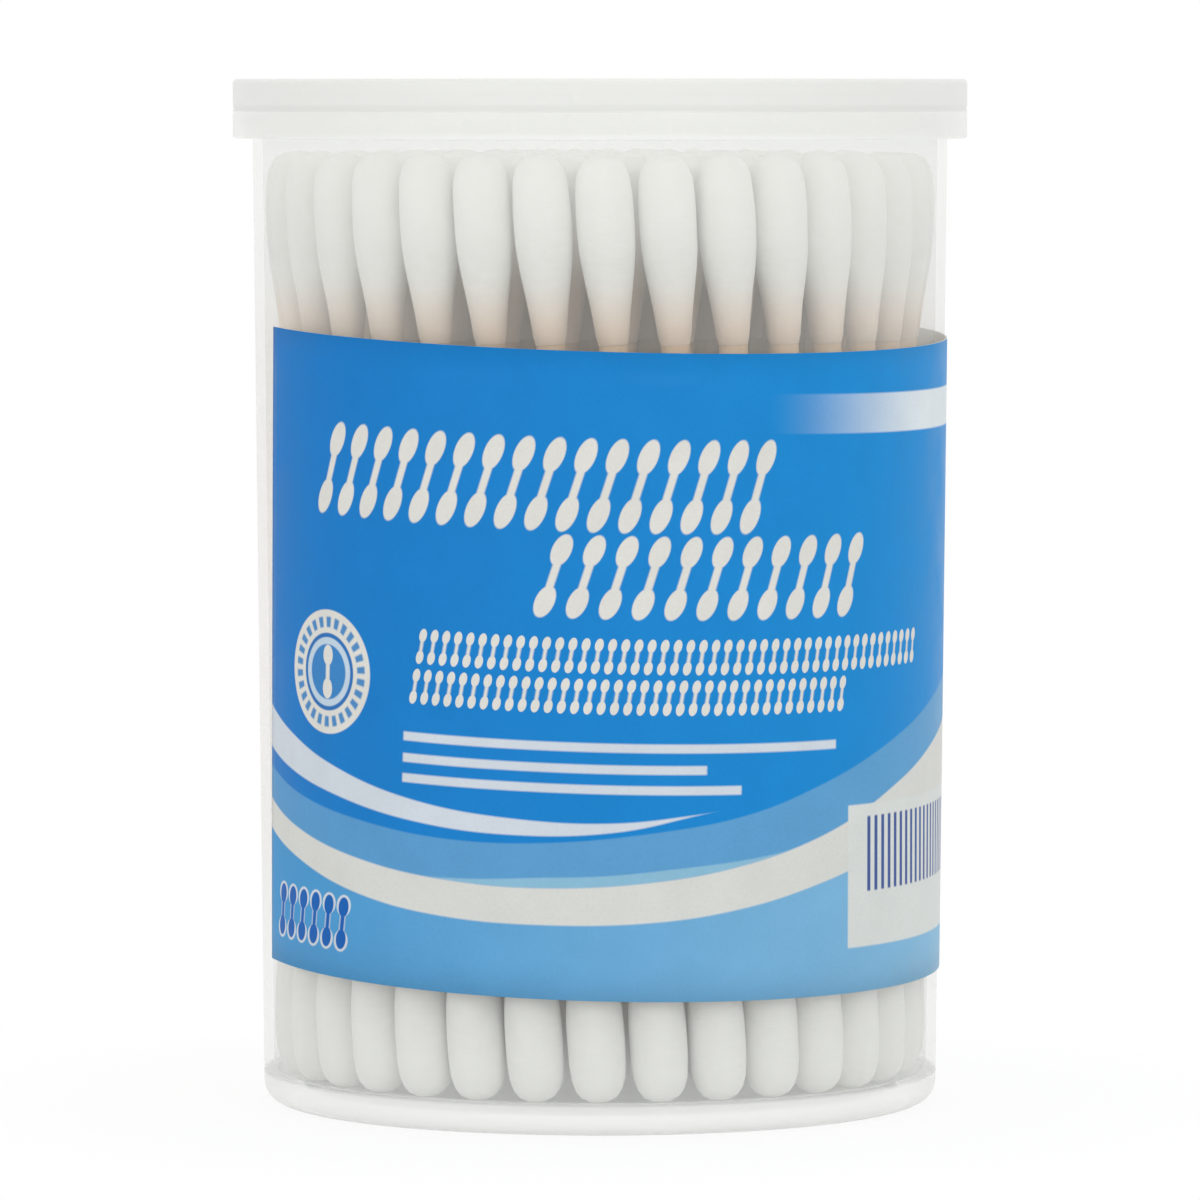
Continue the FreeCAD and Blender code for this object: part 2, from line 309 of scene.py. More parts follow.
# %% Draw the lid's section and spin it
LID_OUT, SKIRT_IN, SKIRT_LOW, PLATE_TOP, RIDGE_TOP, RIDGE_IN = 29.8, 29.1, 78.4, 81.9, 83.2, 28.0
SOFT_EDGE = 0.4
lid_section = [(0, RIM_TOP), (14, RIM_TOP), (SKIRT_IN - 0.15, RIM_TOP), (SKIRT_IN, RIM_TOP - 0.15)]
lid_section += [(SKIRT_IN, 79.45), (SKIRT_IN - 0.2, 79.2), (28.82, 78.98), (28.82, 78.85)]
lid_section += [(SKIRT_IN - 0.1, 78.5), (SKIRT_IN + 0.1, SKIRT_LOW), (LID_OUT - 0.15, SKIRT_LOW)]
lid_section += [(LID_OUT, SKIRT_LOW + 0.15), (LID_OUT, 80.6), (LID_OUT - 0.06, 80.75)]
lid_section += [(LID_OUT - 0.06, 80.9), (LID_OUT, 81.05), (LID_OUT, RIDGE_TOP - SOFT_EDGE)]
lid_section += rounded((LID_OUT - SOFT_EDGE, RIDGE_TOP - SOFT_EDGE), SOFT_EDGE, 15, 90, 4)
lid_section += rounded((RIDGE_IN + SOFT_EDGE, RIDGE_TOP - SOFT_EDGE), SOFT_EDGE, 90, 180, 4)
lid_section += [(RIDGE_IN, PLATE_TOP + 0.3), (RIDGE_IN - 0.1, PLATE_TOP + 0.08)]
lid_section += [(RIDGE_IN - 0.35, PLATE_TOP)]
lid_section += [(14, PLATE_TOP), (0, PLATE_TOP)]
lid_cap = finished("lid_cap", spun(lid_section, ROUND_STEPS), lid_finish)
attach(lid_cap, "lid")
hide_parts("lid")


# %% [markdown]
# ## The label's print
# The label is a smooth printed strip: a blue field, sweeping stripes in paler
# blues and cream, a fading stripe at the upper right, a round badge and a pale
# panel. Its words and numbers are left out; rows of plain swab shapes and thin
# stripes stand in their places. The print follows the strip, so the label has
# its own map, whose two numbers become millimetres along and up the strip.

# %% The strip's size and its two paper directions
LABEL_LENGTH, LABEL_LEFT, LABEL_HEIGHT = 141.5, -34.4, 51.1
label_finish, label_tree, label_shader = new_material("printed label")
strip_map = add_node(label_tree, "ShaderNodeUVMap", {"uv_map": "strip"}).outputs[0]
in_strip = add_node(label_tree, "ShaderNodeSeparateXYZ", Vector=strip_map).outputs
along = sum_of(label_tree, "MULTIPLY_ADD", in_strip["X"], LABEL_LENGTH, LABEL_LEFT)
up = sum_of(label_tree, "MULTIPLY", in_strip["Y"], LABEL_HEIGHT)
CREST, CREST_SOFTNESS = 48.0, 20.0
from_crest = sum_of(label_tree, "SUBTRACT", along, CREST)
crest_squared = sum_of(label_tree, "MULTIPLY_ADD", from_crest, from_crest, CREST_SOFTNESS)
rounded_off = sum_of(label_tree, "SQRT", crest_squared)
mirrored = sum_of(label_tree, "SUBTRACT", CREST, rounded_off)
print("the strip is", LABEL_LENGTH, "mm long and", LABEL_HEIGHT, "mm high")


# %% [markdown]
# The sweeping stripes are drawn the way a sign painter would: each edge is one
# smooth curve through a few heights, and everything above or below it is
# filled. A curve node holds each edge. Past the crest on the right the curves
# run back down again, so the stripes go round the tub without a break.

# %% One smooth edge and its fill
SPAN_START, SPAN_END, SPAN_TOP = -36.0, 48.0, 30.0


def edge_height(name, heights):
    """The height of a stripe's edge over the strip, through a few (along, up) points."""
    node = label_tree.nodes.new("ShaderNodeFloatCurve")
    node.label = name
    share = add_node(label_tree, "ShaderNodeMapRange", Value=mirrored,
                     n1=SPAN_START, n2=SPAN_END).outputs[0]
    label_tree.links.new(share, node.inputs["Value"])
    curve = node.mapping.curves[0]
    spots = [((x - SPAN_START) / (SPAN_END - SPAN_START), y / SPAN_TOP) for x, y in heights]
    curve.points[0].location, curve.points[1].location = spots[0], spots[-1]
    for spot in spots[1:-1]:
        curve.points.new(*spot)
    node.mapping.update()
    return sum_of(label_tree, "MULTIPLY", node.outputs[0], SPAN_TOP)


def above(tree, value, edge, soft=0.08):
    """1 where the value is over the edge and 0 under it, with a softly printed line between."""
    gap = sum_of(tree, "SUBTRACT", value, edge)
    return add_node(tree, "ShaderNodeMapRange", Value=gap, n1=-soft, n2=soft).outputs[0]


def inside(tree, value, low, high, soft=0.08):
    """1 between two edges."""
    return sum_of(tree, "MULTIPLY", above(tree, value, low, soft), above(tree, high, value, soft))


# %% The edges of the sweeping stripes
pale_top = edge_height("pale stripe, upper edge", [
    (-36, 21.6), (-33.7, 20.3), (-29.1, 18.5), (-24.7, 17.1), (-15, 14.95), (-7, 14.15),
    (1, 14.05), (7.8, 14.8), (20, 16.5), (48, 20)])
pale_foot = edge_height("pale stripe, lower edge", [
    (-36, 18.0), (-33.7, 17.0), (-29.1, 15.7), (-24.7, 14.8), (-15, 13.3), (-7, 12.85),
    (1, 13.3), (7.8, 14.75), (20, 17.5), (48, 25)])
middle_top = edge_height("middle band, upper edge", [
    (-36, 16.3), (-33.7, 15.5), (-29.1, 14.2), (-20, 12.8), (-12, 12.15), (-4.7, 12.3), (4.8, 13.4),
    (11.5, 14.6), (19, 16.95), (29, 20.5), (40, 23.9), (48, 25.2)])
cream_top = edge_height("cream band, upper edge", [
    (-36, 13.9), (-33.7, 12.8), (-29.1, 11.4), (-20, 9.7), (-12, 8.9), (-4.7, 8.75), (4.8, 9.5),
    (11.5, 10.7), (19, 12.85), (29, 16.75), (40, 20.25), (48, 21.4)])
cream_foot = edge_height("cream band, lower edge", [
    (-36, 11.4), (-33.7, 10.4), (-29.1, 9.0), (-20, 6.9), (-12, 6.0), (-4.7, 5.85), (4.8, 6.3),
    (11.5, 7.3), (19, 9.1), (29, 11.8), (40, 14.1), (48, 14.9)])
print("stripe edges drawn")


# %% [markdown]
# A row of little swab shapes stands where the words were. One shape is two
# rounded ends joined by a thin stick. Repeating the pattern is done with the
# remainder of a division, so one group draws a whole row at any size, and its
# slant gives the row the pace of slanted letters.

# %% A row of printed swab shapes
HEAD_SHARE, STICK_SHARE = 0.19, 0.4
row_tree, row_in, row_out = new_group(
    "row of swab shapes",
    [(socket, "NodeSocketFloat", value) for socket, value in (
        ("Along", 0.0), ("Up", 0.0), ("Start", 0.0), ("Count", 5.0), ("Pitch", 5.0),
        ("Middle", 0.0), ("Tall", 7.0), ("Wide", 2.4), ("Slant", 0.25))],
    [("Mask", "NodeSocketFloat")],
)
rise = sum_of(row_tree, "SUBTRACT", row_in["Up"], row_in["Middle"])
lean = sum_of(row_tree, "MULTIPLY", rise, row_in["Slant"])
from_start = sum_of(row_tree, "SUBTRACT", row_in["Along"], row_in["Start"])
run = sum_of(row_tree, "SUBTRACT", from_start, lean)
steps = sum_of(row_tree, "DIVIDE", run, row_in["Pitch"])
part = sum_of(row_tree, "SUBTRACT", sum_of(row_tree, "FRACT", steps), 0.5)
across = sum_of(row_tree, "ABSOLUTE", sum_of(row_tree, "MULTIPLY", part, row_in["Pitch"]))
half_tall = sum_of(row_tree, "MULTIPLY", row_in["Tall"], 0.5)
half_wide = sum_of(row_tree, "MULTIPLY", row_in["Wide"], 0.5)
head_half = sum_of(row_tree, "MULTIPLY", row_in["Tall"], HEAD_SHARE)
away = sum_of(row_tree, "ABSOLUTE", rise)
from_head = sum_of(row_tree, "SUBTRACT", away, sum_of(row_tree, "SUBTRACT", half_tall, head_half))
oval_x = sum_of(row_tree, "DIVIDE", across, half_wide)
oval_y = sum_of(row_tree, "DIVIDE", from_head, head_half)
oval_squared = sum_of(row_tree, "ADD", sum_of(row_tree, "MULTIPLY", oval_x, oval_x),
                      sum_of(row_tree, "MULTIPLY", oval_y, oval_y))
oval = sum_of(row_tree, "SQRT", oval_squared)
heads = add_node(row_tree, "ShaderNodeMapRange", Value=oval, n1=1.06, n2=0.94).outputs[0]
stick_edge = sum_of(row_tree, "MULTIPLY", half_wide, STICK_SHARE)
stick_wide = above(row_tree, stick_edge, across)
stick_tall = above(row_tree, sum_of(row_tree, "SUBTRACT", half_tall, head_half), away)
swab_shape = sum_of(row_tree, "MAXIMUM", heads, sum_of(row_tree, "MULTIPLY", stick_wide, stick_tall))
in_row = sum_of(row_tree, "MULTIPLY", sum_of(row_tree, "GREATER_THAN", steps, 0.0),
                sum_of(row_tree, "LESS_THAN", steps, row_in["Count"]))
row_tree.links.new(sum_of(row_tree, "MULTIPLY", swab_shape, in_row), row_out["Mask"])
print(row_tree.name, "has", len(row_tree.nodes), "nodes")


def swab_row(start, count, pitch, middle, tall, wide, slant):
    """A mask for one row of swab shapes on the strip."""
    node = label_tree.nodes.new("ShaderNodeGroup")
    node.node_tree = row_tree
    label_tree.links.new(along, node.inputs["Along"])
    label_tree.links.new(up, node.inputs["Up"])
    for name, value in (("Start", start), ("Count", count), ("Pitch", pitch), ("Middle", middle),
                        ("Tall", tall), ("Wide", wide), ("Slant", slant)):
        node.inputs[name].default_value = value
    return node.outputs[0]


# %% Fill the fields, from the ground up
SWEEP_LOWEST = 1.0
# The blue field is darker on the left and lighter towards the crest: partly the print's own tone,
# partly painted light and shade across the tub's front.
BLUE_LEFT, BLUE_RIGHT = paint(24, 118, 193), paint(30, 141, 210)
MIDDLE_LEFT, MIDDLE_RIGHT = paint(88, 151, 200), paint(96, 159, 205)
FOOT_LEFT, FOOT_RIGHT = paint(62, 146, 203), paint(136, 187, 218)
CREAM, PALE = paint(212, 213, 208), paint(204, 212, 220)
INK, LIGHT_LINE = paint(218, 217, 211), paint(137, 184, 209)
sideways = add_node(label_tree, "ShaderNodeMapRange", Value=mirrored, n1=-34.0, n2=40.0).outputs[0]
print_colour = blend_colours(label_tree, sideways, BLUE_LEFT, BLUE_RIGHT)
pale_stripe = inside(label_tree, up, pale_foot, pale_top)
print_colour = blend_colours(label_tree, pale_stripe, print_colour, PALE)
middle_colour = blend_colours(label_tree, sideways, MIDDLE_LEFT, MIDDLE_RIGHT)
print_colour = blend_colours(label_tree, above(label_tree, middle_top, up),
                             print_colour, middle_colour)
from_lowest = sum_of(label_tree, "ABSOLUTE", sum_of(label_tree, "SUBTRACT", mirrored, SWEEP_LOWEST))
line_depth = add_node(label_tree, "ShaderNodeMapRange", {"interpolation_type": "SMOOTHSTEP"},
                      Value=from_lowest, n1=17.0, n2=4.0, n4=0.85).outputs[0]
light_line = inside(label_tree, up, cream_top, sum_of(label_tree, "ADD", cream_top, line_depth))
light_line = sum_of(label_tree, "MULTIPLY", light_line, above(label_tree, line_depth, 0.1, 0.1))
print_colour = blend_colours(label_tree, light_line, print_colour, LIGHT_LINE)
print_colour = blend_colours(label_tree, above(label_tree, cream_top, up), print_colour, CREAM)
foot_colour = blend_colours(label_tree, sideways, FOOT_LEFT, FOOT_RIGHT)
print_colour = blend_colours(label_tree, above(label_tree, cream_foot, up), print_colour, foot_colour)
print("fields filled:", len(label_tree.nodes), "nodes so far")


# %% [markdown]
# Over the fields come the smaller things: the fading stripe, the rows, the
# badge and the pale panel with its even bars. The rows and the thin stripes are
# printed twice, once on the front and once round the back, because such tubs
# are made to be picked up from either side.

# %% The fading stripe and the rows of shapes
BACK_CENTRE = 73.5
SWAB_ROWS = [  # start, count, pitch, middle, tall, wide, slant
    (-26.0, 16, 2.5, 40.6, 7.4, 1.62, 0.3),
    (-5.2, 11, 2.6, 33.4, 6.6, 1.62, 0.3),
    (-15.3, 45, 1.04, 27.2, 2.8, 0.68, 0.15),
    (-15.8, 36, 1.04, 24.0, 2.8, 0.68, 0.15)]
STRIPES_START = -16.2
THIN_STRIPES = [(19.65, 20.35, 20.5), (17.95, 18.65, 8.7), (16.35, 17.05, 11.6)]  # low, high, end


def rows_of_print(colour, centre):
    """The rows of shapes and the thin stripes of one face, over the colour so far."""
    for start, *rest in SWAB_ROWS:
        colour = blend_colours(label_tree, swab_row(start + centre, *rest), colour, INK)
    for low, high, end in THIN_STRIPES:
        mask = sum_of(label_tree, "MULTIPLY", inside(label_tree, up, low, high),
                      inside(label_tree, along, centre + STRIPES_START, centre + end))
        colour = blend_colours(label_tree, mask, colour, PALE)
    return colour


FADING_SLOPE, FADING_FOOT, FADING_DEPTH = -0.02, 45.06, 3.13
fade = add_node(label_tree, "ShaderNodeMapRange", {"interpolation_type": "SMOOTHSTEP"},
                Value=mirrored, n1=13.0, n2=33.0, n4=0.92).outputs[0]
stripe_foot = sum_of(label_tree, "MULTIPLY_ADD", mirrored, FADING_SLOPE, FADING_FOOT)
stripe = inside(label_tree, up, stripe_foot, sum_of(label_tree, "ADD", stripe_foot, FADING_DEPTH))
print_colour = blend_colours(label_tree, sum_of(label_tree, "MULTIPLY", stripe, fade), print_colour,
                             paint(226, 232, 232))
print_colour = rows_of_print(print_colour, 0.0)
print_colour = rows_of_print(print_colour, BACK_CENTRE)
print(len(SWAB_ROWS), "rows and", len(THIN_STRIPES), "thin stripes on each face")


# %% The badge, with one small swab shape in a ring of dashes
DISC, RING_IN, RING_OUT, DASHES, CRISP = 4.95, 3.55, 4.4, 26, 0.06
RING_BLUE = paint(80, 138, 192)
INNER_DISCS = [(3.1, paint(46, 112, 180)), (2.75, paint(190, 208, 222)), (2.2, paint(60, 130, 192))]


def badge(colour, centre, middle):
    """A pale disc with a ring of dashes, three smaller discs and one printed swab shape."""
    sides = sum_of(label_tree, "SUBTRACT", along, centre)
    rises = sum_of(label_tree, "SUBTRACT", up, middle)
    reach_squared = sum_of(label_tree, "ADD", sum_of(label_tree, "MULTIPLY", sides, sides),
                           sum_of(label_tree, "MULTIPLY", rises, rises))
    reach = sum_of(label_tree, "SQRT", reach_squared)
    colour = blend_colours(label_tree, above(label_tree, DISC, reach, CRISP), colour, INK)
    turned = sum_of(label_tree, "MULTIPLY", sum_of(label_tree, "ARCTAN2", rises, sides),
                    DASHES / (2 * math.pi))
    dashes = inside(label_tree, sum_of(label_tree, "FRACT", turned), 0.22, 0.78)
    ring = sum_of(label_tree, "MULTIPLY", dashes, inside(label_tree, reach, RING_IN, RING_OUT))
    colour = blend_colours(label_tree, ring, colour, RING_BLUE)
    for radius, fill in INNER_DISCS:
        colour = blend_colours(label_tree, above(label_tree, radius, reach, CRISP), colour, fill)
    one_swab = swab_row(centre - 1.1, 1, 2.2, middle, 4.3, 1.2, 0.0)
    return blend_colours(label_tree, one_swab, colour, INK)


print_colour = badge(print_colour, -24.7, 24.3)
print("badge with", DASHES, "dashes")


# %% The pale panel with even bars
PANEL_LOW, PANEL_HIGH, BARS_LOW, BARS_HIGH = 3.6, 15.0, 8.0, 14.0
BAR_PITCH, BARS_INSET = 0.92, 2.2


def bar_panel(colour, left, right):
    """A pale panel with evenly spaced bars that hold no code."""
    panel = sum_of(label_tree, "MULTIPLY", inside(label_tree, along, left, right),
                   inside(label_tree, up, PANEL_LOW, PANEL_HIGH))
    colour = blend_colours(label_tree, panel, colour, paint(213, 217, 214))
    wave = sum_of(label_tree, "FRACT", sum_of(label_tree, "DIVIDE", along, BAR_PITCH))
    bars = inside(label_tree, wave, 0.28, 0.72, 0.05)
    block = sum_of(label_tree, "MULTIPLY",
                   inside(label_tree, along, left + BARS_INSET, right - BARS_INSET),
                   inside(label_tree, up, BARS_LOW, BARS_HIGH))
    return blend_colours(label_tree, sum_of(label_tree, "MULTIPLY", bars, block),
                         colour, paint(70, 92, 150))


print_colour = bar_panel(print_colour, 21.9, 50.0)
for tall, wide, fill in ((4.6, 1.7, PALE), (4.2, 1.2, paint(24, 96, 176))):
    small_row = swab_row(-32.4, 6, 1.85, 4.4, tall, wide, 0.1)
    print_colour = blend_colours(label_tree, small_row, print_colour, fill)
print("panel and small row drawn")


# %% [markdown]
# Ink on film is never perfectly even. A very fine grain breaks the colour up,
# the film's gloss changes a little from place to place, and a slow ripple
# shows where the strip didn't lie quite flat when it was stuck on.

# %% Grain, gloss and ripple
film_place = label_tree.nodes.new("ShaderNodeTexCoord").outputs["Object"]
grain = add_node(label_tree, "ShaderNodeTexNoise", Vector=film_place,
                 Scale=5200.0, Detail=2.0).outputs[0]
blotch = add_node(label_tree, "ShaderNodeTexNoise", Vector=film_place,
                  Scale=260.0, Detail=3.0).outputs[0]
shade = add_node(label_tree, "ShaderNodeMapRange",
                 Value=sum_of(label_tree, "ADD", sum_of(label_tree, "MULTIPLY", grain, 0.5),
                              sum_of(label_tree, "MULTIPLY", blotch, 0.5)),
                 n1=0.3, n2=0.7, n3=0.94, n4=1.05).outputs[0]
grained = add_node(label_tree, "ShaderNodeVectorMath", {"operation": "SCALE"}, Vector=print_colour,
                   Scale=shade).outputs[0]
label_tree.links.new(grained, label_shader.inputs["Base Color"])
gloss = add_node(label_tree, "ShaderNodeMapRange", Value=blotch,
                 n1=0.3, n2=0.7, n3=0.34, n4=0.46).outputs[0]
label_tree.links.new(gloss, label_shader.inputs["Roughness"])
label_shader.inputs["Specular IOR Level"].default_value = 0.07
ripple = add_node(label_tree, "ShaderNodeTexNoise", Vector=film_place,
                  Scale=120.0, Detail=1.0).outputs[0]
label_tree.links.new(add_node(label_tree, "ShaderNodeBump", Height=ripple, Strength=0.25,
                              Distance=0.12 * MM).outputs[0], label_shader.inputs["Normal"])
print(label_finish.name, "has", len(label_tree.nodes), "nodes")


# %% The plain paper side
paper_finish, paper_tree, paper_shader = new_material("label paper side")
paper_place = paper_tree.nodes.new("ShaderNodeTexCoord").outputs["Object"]
fibres = add_node(paper_tree, "ShaderNodeTexNoise", Vector=paper_place,
                  Scale=1800.0, Detail=4.0).outputs[0]
paper_tree.links.new(blend_colours(paper_tree, fibres, paint(228, 230, 228), paint(242, 243, 241)),
                     paper_shader.inputs["Base Color"])
paper_shader.inputs["Roughness"].default_value = 0.7
paper_tree.links.new(add_node(paper_tree, "ShaderNodeBump", Height=fibres, Strength=0.2,
                              Distance=0.02 * MM).outputs[0], paper_shader.inputs["Normal"])
print(paper_finish.name, "made")


# %% [markdown]
# ## The wrapped label
# The strip was stuck on a little askew, so its edges climb and dip as they go
# round. It is made flat, as a grid of small squares, and then rolled round a
# slightly leaning axis and pressed onto the wall. Solidify gives the film its
# thickness, and the faces inside and along its cut edges get the plain paper.

# %% Roll the strip round the wall
FILM, GLUE = 0.15, 0.05
LABEL_MIDDLE, LABEL_FIRST, LABEL_TURN, ROLL_RADIUS = 37.5, -160.5, 290.0, 28
LEANS_RIGHT, LEANS_FORWARD = math.radians(1.6), math.radians(2.3)
WALL_START = 1.8
askew = Matrix.Rotation(LEANS_RIGHT, 3, "Y") @ Matrix.Rotation(LEANS_FORWARD, 3, "X")


def wall_radius(height):
    """The outer wall's radius at a height, in millimetres."""
    return BASE + (MOUTH - BASE) * (height - WALL_START) / (RIM_LOW - WALL_START)


def on_wall(along_share, up_share, lift):
    """Where a spot of the flat strip lies once it is rolled round the tub, lifted off the wall."""
    turn = math.radians(LABEL_FIRST + LABEL_TURN * along_share)
    flat = Vector((math.cos(turn) * ROLL_RADIUS, math.sin(turn) * ROLL_RADIUS,
                   (up_share - 0.5) * LABEL_HEIGHT))
    spot = askew @ flat + Vector((0, 0, LABEL_MIDDLE))
    level = Vector((spot.x, spot.y, 0)).normalized() * (wall_radius(spot.z) + lift)
    return Vector((level.x, level.y, spot.z)) * MM


strip = bmesh.new()
bmesh.ops.create_grid(strip, x_segments=160, y_segments=16, size=0.5)
strip_uv = strip.loops.layers.uv.new("strip")
for face in strip.faces:
    for corner in face.loops:
        corner[strip_uv].uv = (corner.vert.co.x + 0.5, corner.vert.co.y + 0.5)
for vert in strip.verts:
    vert.co = on_wall(vert.co.x + 0.5, vert.co.y + 0.5, GLUE)
bmesh.ops.recalc_face_normals(strip, faces=strip.faces)
first_face = strip.faces[:][0]
label_centre = Vector((0, 0, LABEL_MIDDLE * MM))
if first_face.normal.dot(first_face.calc_center_median() - label_centre) < 0:
    bmesh.ops.reverse_faces(strip, faces=strip.faces)
bmesh.ops.solidify(strip, geom=strip.faces, thickness=-FILM * MM)
bmesh.ops.recalc_face_normals(strip, faces=strip.faces)
for face in strip.faces:
    centre = face.calc_center_median()
    outward = face.normal.dot(Vector((centre.x, centre.y, 0)).normalized())
    face.material_index = 0 if outward > 0.5 else 1
label_wrap = finished("label_wrap", strip, label_finish, paper_finish)
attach(label_wrap, "tub")
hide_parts("label")


# %% [markdown]
# ## Birch sticks
# The sticks are turned birch, pale with fine grain along their length. The
# grain is a noise that is squeezed across and stretched along, so it runs up
# the stick, with a slow change of tone from one stick to the next.

# %% The birch material
birch_finish, birch_tree, birch_shader = new_material("birch stick")
birch_place = birch_tree.nodes.new("ShaderNodeTexCoord").outputs["Object"]
drawn_out = add_node(birch_tree, "ShaderNodeMapping", Vector=birch_place,
                     Scale=(1.0, 1.0, 0.05)).outputs[0]
grain_lines = add_node(birch_tree, "ShaderNodeTexNoise", Vector=drawn_out,
                       Scale=3200.0, Detail=3.0).outputs[0]
tones = add_node(birch_tree, "ShaderNodeTexNoise", Vector=drawn_out,
                 Scale=260.0, Detail=1.0).outputs[0]
wood = blend_colours(birch_tree, grain_lines, paint(196, 160, 122), paint(226, 198, 164))
wood = blend_colours(birch_tree, sum_of(birch_tree, "MULTIPLY", tones, 0.5), wood, paint(206, 166, 124))
birch_tree.links.new(wood, birch_shader.inputs["Base Color"])
birch_shader.inputs["Roughness"].default_value = 0.62
birch_tree.links.new(add_node(birch_tree, "ShaderNodeBump", Height=grain_lines, Strength=0.3,
                              Distance=0.03 * MM).outputs[0], birch_shader.inputs["Normal"])
print(birch_finish.name, "made")


# %% [markdown]
# ## Wound cotton
# Cotton is a matt white felt of fine fibres, wound round and round the stick.
# A noise stretched round the tip gives the winding, a finer one the fuzz, and
# both only lift the surface a little, since the white itself hardly changes.
# It is whitest at the end, gets a painted shade towards the neck, and at
# last turns tan, where the layer gets so thin that the wood shows through.

# %% The cotton material
cotton_finish, cotton_tree, cotton_shader = new_material("wound cotton")
cotton_place = cotton_tree.nodes.new("ShaderNodeTexCoord").outputs["Object"]
wound = add_node(cotton_tree, "ShaderNodeMapping", Vector=cotton_place, Scale=(0.45, 0.45, 1.6),
                 Rotation=(0.25, 0.1, 0.0)).outputs[0]
winding = add_node(cotton_tree, "ShaderNodeTexNoise", Vector=wound, Scale=1500.0, Detail=4.0,
                   Roughness=0.65).outputs[0]
fuzz = add_node(cotton_tree, "ShaderNodeTexNoise", Vector=cotton_place, Scale=5200.0, Detail=3.0,
                Roughness=0.7).outputs[0]
felt = sum_of(cotton_tree, "ADD", sum_of(cotton_tree, "MULTIPLY", winding, 0.7),
              sum_of(cotton_tree, "MULTIPLY", fuzz, 0.3))
white = blend_colours(cotton_tree, felt, paint(229, 229, 222), paint(251, 251, 247))
neck = add_node(cotton_tree, "ShaderNodeAttribute", {"attribute_name": "from_end"}).outputs["Fac"]
# Painted shade: the cotton's white gets darker towards the neck.
painted_neck_shade = add_node(cotton_tree, "ShaderNodeMapRange", Value=neck,
                  n1=0.05, n2=0.55, n3=1.0, n4=0.85).outputs[0]
white = add_node(cotton_tree, "ShaderNodeVectorMath", {"operation": "SCALE"}, Vector=white,
                 Scale=painted_neck_shade).outputs[0]
thin = add_node(cotton_tree, "ShaderNodeMapRange", {"interpolation_type": "SMOOTHSTEP"},
                Value=neck, n1=0.62, n2=1.0, n4=0.75).outputs[0]
cotton_tree.links.new(blend_colours(cotton_tree, thin, white, paint(222, 192, 162)),
                      cotton_shader.inputs["Base Color"])
cotton_shader.inputs["Roughness"].default_value = 0.95
cotton_shader.inputs["Specular IOR Level"].default_value = 0.2
cotton_shader.inputs["Sheen Weight"].default_value = 0.25
cotton_shader.inputs["Sheen Roughness"].default_value = 0.5
cotton_tree.links.new(add_node(cotton_tree, "ShaderNodeBump", Height=felt, Strength=0.5,
                               Distance=0.12 * MM).outputs[0], cotton_shader.inputs["Normal"])
print(cotton_finish.name, "made")


# %% [markdown]
# ## Where each swab stands
# Every swab leans its own way. Rather than repeating the arrangement here,
# each stick's line is read from the frame: a node holds many loose sticks, so
# a merged copy of its mesh is split into islands, and the middle of an
# island's lower and upper ends gives the stick's line.

# %% Read the sticks' lines from a node
def stick_lines(node):
    """The foot and head of the bare wood of each stick in a node."""
    copy = bmesh.new()
    copy.from_mesh(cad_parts[node].data)
    bmesh.ops.remove_doubles(copy, verts=copy.verts, dist=0.001 * MM)
    unseen, lines = set(copy.verts), []
    while unseen:
        island, reached = [], [unseen.pop()]
        while reached:
            vert = reached.pop()
            island.append(vert.co.copy())
            for edge in vert.link_edges:
                other = edge.other_vert(vert)
                if other in unseen:
                    unseen.remove(other)
                    reached.append(other)
        island.sort(key=lambda spot: spot.z)
        half = len(island) // 2
        lines.append((sum(island[:half], Vector()) / half, sum(island[half:], Vector()) / half))
    copy.free()
    return lines


print("sticks in the outer ring:", len(stick_lines("ring_1_sticks")))


# %% [markdown]
# ## The swabs
# A stick is a slim cylinder. A tip is the outline of wound cotton, thick near
# its end and thin at its neck, spun about the stick. The swabs by the wall are
# seen close up, so their tips are finer and a little uneven; those behind them
# are only glimpsed and stay simple, since they are repeated many times.

# %% The outline of a wound tip, as radius and distance from its end
FINE_TIP = [(0, 0.0), (0.8, 0.1), (1.42, 0.42), (1.86, 1.0), (2.14, 1.9), (2.26, 3.1),
            (2.3, 4.6), (2.29, 6.1), (2.23, 7.5), (2.08, 8.9), (1.87, 10.3), (1.65, 11.7),
            (1.47, 13.0), (1.34, 14.2), (1.17, 15.0)]
PLAIN_TIP = [(0, 0.0), (1.3, 0.4), (2.1, 1.7), (2.27, 4.0), (1.85, 9.5), (1.2, 15.0)]
TIP, STICK_RADIUS, STICK_EXTRA = 15.0, 1.15, 1.0
FINE_SIDES, PLAIN_SIDES, FINE_STICK, PLAIN_STICK = 20, 10, 12, 8
UNEVEN, SHADE_AND_TAN_SOONER = 0.07, 2.2


def place_along(shape, end, inward):
    """Moves a shape from the origin to this end, so that it points inward."""
    turn = inward.to_track_quat("Z", "Y").to_matrix().to_4x4()
    bmesh.ops.transform(shape, matrix=Matrix.Translation(end) @ turn, verts=shape.verts)


